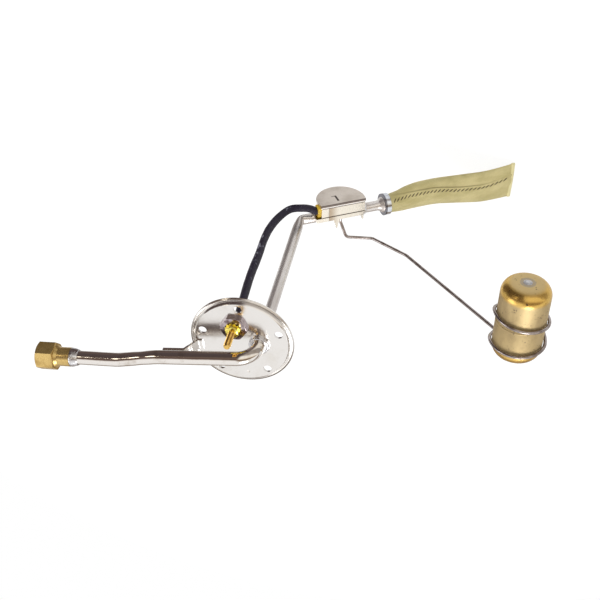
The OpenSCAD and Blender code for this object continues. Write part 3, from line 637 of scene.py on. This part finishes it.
def make_pickup_tube():
    radius = 7.94 / 2 * MM
    low = bend + end_x * 0.064
    route = [mm(-12, 0, 8.3), bend, low]
    path = spaced(rounded(route, [0.0055], 16), 0.0025)
    path += [low + end_x * d for d in (0.0015, 0.003, 0.004, 0.005, 0.0063)]
    corner = rounded(route, [0.0055], 16)[9]
    flare = {len(path) - 5: 1.06, len(path) - 4: 1.22, len(path) - 3: 1.45, len(path) - 2: 1.6, len(path) - 1: 1.6}

    def size(i, s):
        pinch = math.exp(-((path[i] - corner).length / 0.0062) ** 2)
        grow = flare.get(i, 1.0)
        return radius * grow * (1 + 0.14 * pinch), radius * grow * (1 - 0.34 * pinch)

    bm = swept(frames_on(path, Vector((0, 1, 0)), size), 36, math.tau * radius)
    piece(bm, "pickup_tube_finish", "pickup nickel", "unit", ["pickup_tube"], 60, 0.0007)


# ---------------------------------------------------------------- lead

def make_lead():
    grommet = end_frame @ mm(11.4, -9.15, -5.62)
    route = [mm(*p) for p in (
        (4.6, -9.93, -5.5), (4.9, -11.53, -14), (5.4, -12.4, -29), (6.2, -12, -45), (6.4, -12, -60),
        (6, -12, -80), (6.2, -12, -98), (5, -12, -114), (1.2, -12.3, -128.7), (-5.3, -13.2, -139.7))]
    route += [grommet - end_x * 0.012 + mm(0, -5.6, 0), grommet - end_x * 0.0055 + mm(0, -3.6, 0), grommet]
    path = smoothed(route, 8)
    radius = 3.0 * MM

    def size(i, s):
        full = 0.975 + 0.03 * noise.noise(Vector((s * 210, 3.1, 0.4)))
        wide = 1 + 0.07 * noise.noise(Vector((s * 45, 1.1, 7.4)))
        end = min(1.0, 0.72 + s / 0.004)
        return radius * full * end / wide, radius * full * end * wide

    frames = frames_on(path, Vector((0.3, 1, 0)), size)
    bm = swept(frames, 24, math.tau * radius, close=True)
    made = piece(bm, "sender_wire_finish", "varnished braid", "unit", ["sender_wire"], 70)


# ---------------------------------------------------------------- arm and float

def make_arm():
    def in_plane(x, y):
        return pivot + Vector((-x * math.cos(RISE) + y * math.sin(RISE), 0,
                               x * math.sin(RISE) + y * math.cos(RISE))) * MM + mm(0, 14.5, 0)

    start = math.radians(-38.4 + 11)
    depths = [(0, 14.5), (38, 10.2), (122, 10.8), (218, 9.2), (300, -2.0), (398, -15.0), (482, -11.3), (578, -8.0),
              (600, -7.8)]

    def depth_at(degrees):
        for (a, da), (b, db) in zip(depths, depths[1:]):
            if degrees <= b:
                return da + (db - da) * max(0.0, degrees - a) / (b - a)
        return depths[-1][1]

    def turn_point(degrees):
        angle = start + math.radians(degrees)
        depth = sum(depth_at(min(600, max(0, degrees + d))) for d in (-14, -7, 0, 7, 14)) / 5
        return Vector((float_centre.x + 0.0186 * math.cos(angle), depth * MM,
                       float_centre.z + 0.0186 * math.sin(angle)))

    first, second = turn_point(0), turn_point(4)
    lead_in = first - (second - first).normalized() * 0.0055
    route = [Vector((pivot.x, 0.00203, pivot.z)), Vector((pivot.x, 0.004, pivot.z)), in_plane(8, 0.6),
             in_plane(22.7, -13.5), in_plane(56.1, -17.3), lead_in, first]
    path = spaced(rounded(route, [0.0024, 0.0032, 0.005, 0.008, 0.0035], 8), 0.004)
    path += [turn_point(600 * k / 132) for k in range(1, 133)]
    tail = (path[-1] - path[-2]).normalized()
    path += [path[-1] + tail * d for d in (0.00015, 0.0003, 0.0004)]
    total = len(path)
    radius = 1.2 * MM

    def size(i, s):
        left = total - 1 - i
        r = radius * (1, 1, 1, 1)[min(left, 3)] if left > 2 else radius * (0.55, 0.85, 0.96)[left]
        return r, r

    bm = swept(frames_on(path, Vector((0.2, 1, 0.1)), size), 16, math.tau * radius, close=True)
    piece(bm, "float_arm_finish", "arm steel", "arm", ["float_arm"], 60)


def make_float():
    half, r, c = 30.25, 17.0, 9.0
    for name, sign in (("float_shell_upper", -1), ("float_shell_lower", 1)):
        way = Vector((0, sign, 0))
        place = facing_y(way, float_centre)
        profile = [(0, half), (r, half), (r, 1.7), (r, 0.015)]
        if sign == 1:
            profile = [(0, half), (r, half), (r, 1.4), (r + 0.18, 1.15), (r + 0.18, 0.15), (r, 0.02)]
        bm = spun(profile, place, 128, [(1, c, 14)])
        lumpy(bm, 70, 0.00012, 3.0 * sign)
        piece(bm, name + "_finish", "float brass", "arm", [name], 40, 0.0004)
    drop = [(0, 1.05), (1.1, 0.95), (2.1, 0.62), (2.8, 0.15), (3.05, 0.03)]
    bm = spun(drop, facing_y(Vector((0, -1, 0)), float_centre + mm(0, -half, 0)), 48)
    lumpy(bm, 900, 0.0003, 5.0)
    piece(bm, "float_solder_finish", "vent solder", "arm", ["float_solder"], 50, 0.0006)


def facing_y(way, at):
    side = Vector((1, 0, 0))
    return axes(side, way.cross(side), way, at)


# ---------------------------------------------------------------- sock

SOCK_OPENING = [(0, 0), (0.063, 0.0), (0.13, 0.32), (0.24, 0.5), (0.41, 0.54), (0.6, 0.72), (0.76, 0.86), (1, 1)]
SOCK_SWAY = [(0, 0), (0.063, 0.0), (0.13, -1.6), (0.22, -3.2), (0.38, -3.6), (0.58, -1.0), (0.76, 1.4), (0.9, 0.8), (1, -0.3)]
SEAM = [(0, -4.6), (0.05, -5.0), (0.13, -5.3), (0.22, -4.7), (0.38, -3.6), (0.57, -1.2), (0.76, -0.9), (0.94, -3.2),
        (1, -3.9)]
SOCK_START, SOCK_END = 70.9, 186.0


def eased(table, t, spread=0.05):
    """Reads a table of (share, value) pairs with its corners rounded."""
    def read(t):
        t = min(1.0, max(0.0, t))
        for (a, va), (b, vb) in zip(table, table[1:]):
            if t <= b:
                return va + (vb - va) * (t - a) / (b - a)
        return table[-1][1]
    reach = min(spread, t, 1 - t)
    return sum(read(t + reach * k / 3) for k in range(-3, 4)) / 7


def seam_at(t):
    """Where the seam runs across the sock's front, in mm from its middle."""
    return eased(SEAM, t)


def sock_front(t, across, out=0.0):
    """A point on the front of the sock: share of its length, mm across, mm out from the cloth."""
    x = SOCK_START + (SOCK_END - SOCK_START) * t
    wide = 7.35 + (15.7 - 7.35) * eased(SOCK_OPENING, t)
    deep = 7.35 + (1.05 - 7.35) * (t ** 1.25 if t > 0.035 else 0.0)
    z = -deep * math.sqrt(max(0.0, 1 - (across / wide) ** 2)) - sock_lift(t, across, 1.0) - out
    return end_frame @ mm(x, eased(SOCK_SWAY, t) + across, z)


def sock_lift(t, y, front):
    """How far the cloth stands off its plain form, in mm."""
    free = min(1.0, max(0.0, (t - 0.04) / 0.08)) * min(1.0, (1 - t) / 0.05)
    middle = max(0.0, 1 - (y / 15.7) ** 2)
    lift = 0.50 * noise.noise(Vector((t * 5.2, y * 0.11, front * 4.0))) * middle
    lift += 0.20 * noise.noise(Vector((t * 16, y * 0.30 + t * 3, front * 9.0))) * middle
    near = max(0.0, 1 - t / 0.22)
    lift += 0.34 * math.sin(y * 1.9 + 0.6 * math.sin(t * 30)) * near
    if front > 0:
        past = y - seam_at(t) + 2.9
        fold = min(1.0, t / 0.25) * (0.35 + 0.65 * max(0.0, 1 - abs(t - 0.5) / 0.5))
        lift += 0.95 / (1 + math.exp(-min(past, 20) * 9)) * math.exp(-max(past, 0) / 6.0) * fold
        lift -= 0.12 * math.exp(-((past - 2.9) / 0.9) ** 2)
    return lift * free


def make_sock():
    rings, around = 170, 200
    frames, run, before = [], 0.0, None
    for i in range(rings + 1):
        t = i / rings
        x = SOCK_START + (SOCK_END - SOCK_START) * t
        sway = eased(SOCK_SWAY, t)
        slope = (eased(SOCK_SWAY, min(1, t + 0.01)) - eased(SOCK_SWAY, max(0, t - 0.01))) / 2.3
        at = mm(x, sway, 0)
        way = Vector((1, 0, 0))
        wide = 7.35 + (15.7 - 7.35) * eased(SOCK_OPENING, t)
        deep = 7.35 + (1.05 - 7.35) * (t ** 1.25 if t > 0.035 else 0.0)
        if before is not None:
            run += (at - before).length
        before = at
        local = axes(Vector((-slope * 0, 1, 0)) * wide * MM, Vector((0, 0, 1)) * deep * MM, way, at)
        frames.append((end_frame @ local, run))
    bm = swept(frames, around, 0.064)
    crease = bm.verts.layers.float.new("crease")
    inverse = end_frame.inverted()
    for v in bm.verts:
        p = inverse @ v.co
        t = min(1.0, max(0.0, (p.x / MM - SOCK_START) / (SOCK_END - SOCK_START)))
        front = 1.0 if p.z < 0 else -1.0
        y = p.y / MM - eased(SOCK_SWAY, t)
        p.z -= front * sock_lift(t, y, front) * MM
        v.co = end_frame @ p
        if front > 0:
            fold = min(1.0, t / 0.22) * min(1.0, max(0.0, 0.97 - t) / 0.3)
            # The crease layer sets where painted shade darkens the seam's fold.
            v[crease] = 0.75 * math.exp(-((y - seam_at(t) + 2.75) / 0.34) ** 2) * fold
    return piece(bm, "filter_sock_finish", "sock cloth", "unit", ["filter_sock"], 80)


def make_hem():
    """The welded band that closes the sock's end."""
    bm = bmesh.new()
    across = bm.verts.layers.float.new("across")
    outline = [(-15.9, 1.0), (15.7, 1.0), (15.7, -1.15), (-15.9, -1.15)]
    ring = [bm.verts.new(mm(183.0, y + 0.1, z)) for y, z in outline]
    edges = [bm.edges.new((a, b)) for a, b in zip(ring, ring[1:] + ring[:1])]
    for _ in range(4):
        grown = bmesh.ops.extrude_edge_only(bm, edges=edges)["geom"]
        ring = [g for g in grown if isinstance(g, bmesh.types.BMVert)]
        edges = [g for g in grown if isinstance(g, bmesh.types.BMEdge) and g.is_boundary]
        bmesh.ops.translate(bm, vec=mm(0.72, 0, 0), verts=ring)
    bmesh.ops.holes_fill(bm, edges=[e for e in bm.edges if e.is_boundary], sides=0)
    bmesh.ops.recalc_face_normals(bm, faces=bm.faces)
    bmesh.ops.bevel(bm, geom=[e for e in bm.edges if e.calc_face_angle(0) > 1], offset=0.0004, segments=3,
                    offset_type="OFFSET", profile=0.5, affect="EDGES", material=-1, clamp_overlap=True)
    bmesh.ops.transform(bm, matrix=end_frame, verts=bm.verts)
    uv = bm.loops.layers.uv.new("UVMap")
    inverse = end_frame.inverted()
    for face in bm.faces:
        for loop in face.loops:
            p = inverse @ loop.vert.co
            loop[uv].uv = (p.y, p.x)
    return piece(bm, "sock_hem", "sock hem", "unit", [], 60)


def make_stitches():
    """Slanted stitches of thick thread along the seam, coloured dark as painted shade."""
    bm = bmesh.new()
    t = 0.058
    while t < 0.965:
        y = seam_at(t)
        step = 0.025 + 0.014 * t
        high = 1.2 + 0.3 * noise.noise(Vector((t * 40, 0.3, 2.2)))
        a = sock_front(t - step * 0.40, y + high, 0.06)
        b = sock_front(t + step * 0.40, y - high, 0.06)
        t += step * (1 + 0.10 * noise.noise(Vector((t * 50, 5.3, 1.2))))
        way = (b - a).normalized()
        out = -end_z
        side = out.cross(way).normalized()
        half = (b - a).length / 2
        place = axes(side * 0.00046, way.cross(side) * 0.00035, way * half * 1.05, (a + b) / 2)
        bmesh.ops.create_uvsphere(bm, u_segments=8, v_segments=6, radius=1.0, matrix=place)
    bmesh.ops.recalc_face_normals(bm, faces=bm.faces)
    return piece(bm, "sock_stitches", "stitch shade", "unit", [], 80)


# ---------------------------------------------------------------- terminal

def make_stud():
    pitch, turns, per = 0.8, 15, 24
    tip = 24.4
    low = tip - 0.9 - pitch * (turns + 1)
    bm = bmesh.new()
    profile = [bm.verts.new((r * MM, 0, z * MM)) for r, z in
               ((1.98, 0), (2.38, 0.32), (2.38, 0.42), (1.98, 0.74), (1.98, 0.8))]
    for a, b in zip(profile, profile[1:]):
        bm.edges.new((a, b))
    bmesh.ops.spin(bm, geom=list(bm.verts) + list(bm.edges), cent=(0, 0, 0), axis=(0, 0, 1),
                   dvec=(0, 0, pitch / per * MM), angle=math.tau * turns, steps=per * turns, use_merge=False)
    bmesh.ops.remove_doubles(bm, verts=bm.verts, dist=2e-6)
    bmesh.ops.recalc_face_normals(bm, faces=bm.faces)
    bmesh.ops.translate(bm, vec=mm(4.6, -12.7, low), verts=bm.verts)
    core = spun([(0, -3.4), (3.9, -3.4), (3.9, -2.0), (2.3, -2.0), (2.3, low + 0.5), (2.02, low + 0.8), (2.02, tip - 0.5),
                 (1.7, tip), (0, tip)], Matrix.Translation(mm(4.6, -12.7, 0)), 48)
    body = bpy.data.meshes.new("core")
    core.to_mesh(body)
    core.free()
    bm.from_mesh(body)
    bpy.data.meshes.remove(body)
    piece(bm, "terminal_stud_finish", "stud brass", "unit", ["terminal_stud"], 30)


def make_nut():
    """The brass nut and the toothed washer under it."""
    bm = bmesh.new()
    spot = Matrix.Translation(mm(4.6, -12.7, 0))
    plate = bmesh.ops.create_cone(bm, cap_ends=True, segments=36, radius1=0.0056, radius2=0.0054, depth=0.0009,
                                  matrix=spot @ Matrix.Translation(mm(0, 0, 6.78)))["verts"]
    for v in plate:
        turn = math.atan2(v.co.y + 0.0127, v.co.x - 0.0046)
        if round(turn / math.tau * 36) % 3 == 0:
            v.co.x += (0.0046 - v.co.x) * 0.16
            v.co.y += (-0.0127 - v.co.y) * 0.16
            v.co.z += 0.00025
    high = bmesh.ops.create_cone(bm, cap_ends=True, segments=6, radius1=0.0048, radius2=0.0048, depth=0.0028,
                                 matrix=spot @ Matrix.Translation(mm(0, 0, 8.65)) @ Matrix.Rotation(0.14, 4, "Z"))
    edges = list({e for v in high["verts"] for e in v.link_edges})
    bmesh.ops.bevel(bm, geom=edges, offset=0.00035, offset_type="OFFSET", segments=2, profile=0.5, affect="EDGES",
                    material=-1, clamp_overlap=True)
    piece(bm, "terminal_nut_finish", "nut brass", "unit", ["terminal_nut"], 30)


# ---------------------------------------------------------------- build

make_outlet_tube()
make_pickup_tube()
make_lead()
make_arm()
make_float()
sock = make_sock()
hem = make_hem()
stitches = make_stitches()
make_stud()
make_nut()

for node, look, slot, soften in (
        ("mounting_flange", "flange nickel", "plated_steel", 0.00025),
        ("flange_collar", "soft solder", "solder", 0.0002),
        ("support_strap", "flange nickel", "plated_steel", 0.00015),
        ("outlet_fitting", "fitting brass", "fitting_brass", 0.00018),
        ("fitting_solder", "soft solder", "solder", 0.0002),
        ("terminal_base_hex", "hexagon steel", "dark_plated_steel", 0.0002),
        ("wire_grommet", "yellow insulator", "yellow_insulator", 0.0003),
        ("rheostat_can", "can tin", "can_tin", 0.0),
        ("can_lid", "lid tin", "lid_tin", 0.0002),
        ("bracket_plate", "can tin", "plated_steel", 0.00012),
        ("tube_clips", "flange nickel", "solder", 0.00012),
        ("filter_ferrule", "ferrule steel", "ferrule_steel", 0.0002)):
    refined(node, look, "unit", soften)

for node, look in (
        ("terminal_sleeve", "pale insulator"), ("terminal_washer", "pale insulator"), ("wire_eyelet", "spring brass"),
        ("grommet_rivet", "spring brass"), ("pivot_bushing", "spring brass"), ("pivot_shaft", "arm steel"),
        ("resistor_card", "card board"), ("resistor_winding", "resistance wire"), ("wiper_hub", "spring brass"),
        ("wiper_blade", "spring brass"), ("wiper_contact", "soft solder")):
    nodes[node].data.materials.clear()
    nodes[node].data.materials.append(LOOKS[look])


# ---------------------------------------------------------------- studio

def make_floor():
    bm = bmesh.new()
    bmesh.ops.create_circle(bm, cap_ends=True, radius=0.62, segments=96,
                            matrix=Matrix.Translation((-0.03, 0.0, cad_box[0].z - 0.002)))
    mesh = bpy.data.meshes.new("floor")
    bm.to_mesh(mesh)
    bm.free()
    floor = bpy.data.objects.new("floor", mesh)
    scene.collection.objects.link(floor)
    made = bpy.data.materials.new("pale floor")
    made.use_nodes = True
    made.node_tree.nodes.clear()
    t = Tree(made.node_tree)
    path = t.add("ShaderNodeLightPath")
    soft = t.add("ShaderNodeBsdfDiffuse")
    soft.inputs["Color"].default_value = rgb(0.86, 0.85, 0.84)
    faint = t.add("ShaderNodeBsdfDiffuse")
    faint.inputs["Color"].default_value = rgb(0.24, 0.24, 0.24)
    glow = t.add("ShaderNodeEmission")
    glow.inputs["Color"].default_value = rgb(1, 1, 1)
    glow.inputs["Strength"].default_value = 0.86
    seen = t.add("ShaderNodeAddShader")
    t.join(faint.outputs[0], seen.inputs[0])
    t.join(glow.outputs[0], seen.inputs[1])
    split = t.add("ShaderNodeSeparateXYZ")
    t.join(t.add("ShaderNodeTexCoord").outputs["Object"], split.inputs[0])
    # Glossy rays see a glowing painted reflection of the floor: pale, with painted shade toward -y and +x, and brown
    # far out along +y.
    mirrored = t.add("ShaderNodeEmission")
    shade = t.math("MULTIPLY", t.band(split.outputs[1], 0.03, -0.03), t.band(split.outputs[0], -0.02, 0.02))
    far = t.band(split.outputs[1], 0.12, 0.30)
    tone = t.blend(shade, rgb(0.80, 0.79, 0.78), rgb(0.12, 0.085, 0.075))
    t.join(t.blend(far, tone, rgb(0.27, 0.20, 0.15)), mirrored.inputs["Color"])
    first = t.add("ShaderNodeMixShader")
    t.join(path.outputs["Is Glossy Ray"], first.inputs[0])
    t.join(soft.outputs[0], first.inputs[1])
    t.join(mirrored.outputs[0], first.inputs[2])
    pick = t.add("ShaderNodeMixShader")
    t.join(path.outputs["Is Camera Ray"], pick.inputs[0])
    t.join(first.outputs[0], pick.inputs[1])
    t.join(seen.outputs[0], pick.inputs[2])
    t.join(pick.outputs[0], t.add("ShaderNodeOutputMaterial").inputs[0])
    mesh.materials.append(made)


def make_world():
    """White to the camera; metal sees a pale room with a darker side and one warm strip."""
    world = bpy.data.worlds.new("studio")
    world.use_nodes = True
    world.node_tree.nodes.clear()
    scene.world = world
    t = Tree(world.node_tree)
    split = t.add("ShaderNodeSeparateXYZ")
    t.join(t.add("ShaderNodeTexCoord").outputs["Generated"], split.inputs[0])
    angle = t.math("ARCTAN2", t.math("MULTIPLY", split.outputs[1], -1.0), split.outputs[2])
    share = t.band(angle, -math.pi, math.pi, 0.0, 1.0, False)
    right = [(-180, (0.80, 0.80, 0.80)), (-108, (0.85, 0.85, 0.85)), (-99, (0.30, 0.24, 0.19)),
             (-84, (0.30, 0.24, 0.19)), (-74, (0.93, 0.92, 0.91)), (-26, (1.0, 0.99, 0.98)), (0, (1.0, 0.98, 0.96)),
             (9, (0.72, 0.66, 0.62)), (17, (0.17, 0.115, 0.09)), (28, (0.115, 0.075, 0.06)), (42, (0.17, 0.12, 0.095)),
             (62, (0.085, 0.06, 0.055)), (130, (0.09, 0.07, 0.07)), (160, (0.45, 0.44, 0.43)),
             (180, (0.80, 0.80, 0.80))]
    left = [(-180, (0.80, 0.80, 0.80)), (-108, (0.85, 0.85, 0.85)), (-99, (0.30, 0.24, 0.19)),
            (-84, (0.30, 0.24, 0.19)), (-74, (0.93, 0.92, 0.91)), (-22, (1.0, 0.99, 0.98)), (-6, (0.80, 0.74, 0.66)),
            (3, (0.22, 0.15, 0.10)), (17, (0.20, 0.13, 0.09)), (28, (0.80, 0.70, 0.56)), (40, (1.0, 0.94, 0.84)),
            (66, (1.0, 0.96, 0.90)), (80, (0.42, 0.37, 0.33)), (130, (0.30, 0.27, 0.25)), (180, (0.80, 0.80, 0.80))]

    def ramp(marks):
        node = t.add("ShaderNodeValToRGB")
        t.join(share, node.inputs[0])
        stops = node.color_ramp
        stops.interpolation = "LINEAR"
        for k, (degrees, colour) in enumerate(marks):
            spot = (degrees + 180) / 360
            stop = stops.elements[k] if k < 2 else stops.elements.new(spot)
            stop.position = spot
            stop.color = rgb(*colour)
        return node.outputs[0]

    mirrored = t.blend(t.band(split.outputs[0], 0.19, -0.05), ramp(right), ramp(left))
    path = t.add("ShaderNodeLightPath")
    room = t.add("ShaderNodeBackground")
    room.inputs["Color"].default_value = rgb(0.97, 0.98, 1.0)
    room.inputs["Strength"].default_value = 0.42
    seen = t.add("ShaderNodeBackground")
    t.join(mirrored, seen.inputs["Color"])
    white = t.add("ShaderNodeBackground")
    white.inputs["Color"].default_value = rgb(1, 1, 1)
    first = t.add("ShaderNodeMixShader")
    t.join(path.outputs["Is Glossy Ray"], first.inputs[0])
    t.join(room.outputs[0], first.inputs[1])
    t.join(seen.outputs[0], first.inputs[2])
    second = t.add("ShaderNodeMixShader")
    t.join(path.outputs["Is Camera Ray"], second.inputs[0])
    t.join(first.outputs[0], second.inputs[1])
    t.join(white.outputs[0], second.inputs[2])
    t.join(second.outputs[0], t.add("ShaderNodeOutputWorld").inputs[0])


def make_lamp(name, at, size, watts, colour, mirrored=True):
    lamp = bpy.data.lights.new(name, "AREA")
    lamp.shape = "DISK"
    lamp.size = size
    lamp.energy = watts
    lamp.color = colour
    made = bpy.data.objects.new(name, lamp)
    made.location = at
    way = (Vector((-0.05, 0, -0.08)) - Vector(at)).normalized()
    made.rotation_euler = way.to_track_quat("-Z", "Y").to_euler()
    made.visible_glossy = mirrored
    scene.collection.objects.link(made)


make_floor()
make_world()
make_lamp("key", (-0.5, 0.75, 1.0), 0.7, 9.0, (1.0, 0.985, 0.96))
make_lamp("fill", (0.3, -1.1, 0.7), 0.9, 5.5, (0.97, 0.98, 1.0), False)
make_lamp("streak", (0.74, -0.76, 0.66), 0.22, 0.35, (1.0, 0.90, 0.72))
make_lamp("side", (0.9, 0.2, 0.6), 0.8, 2.0, (1.0, 1.0, 1.0))

scene.view_settings.view_transform = "Standard"
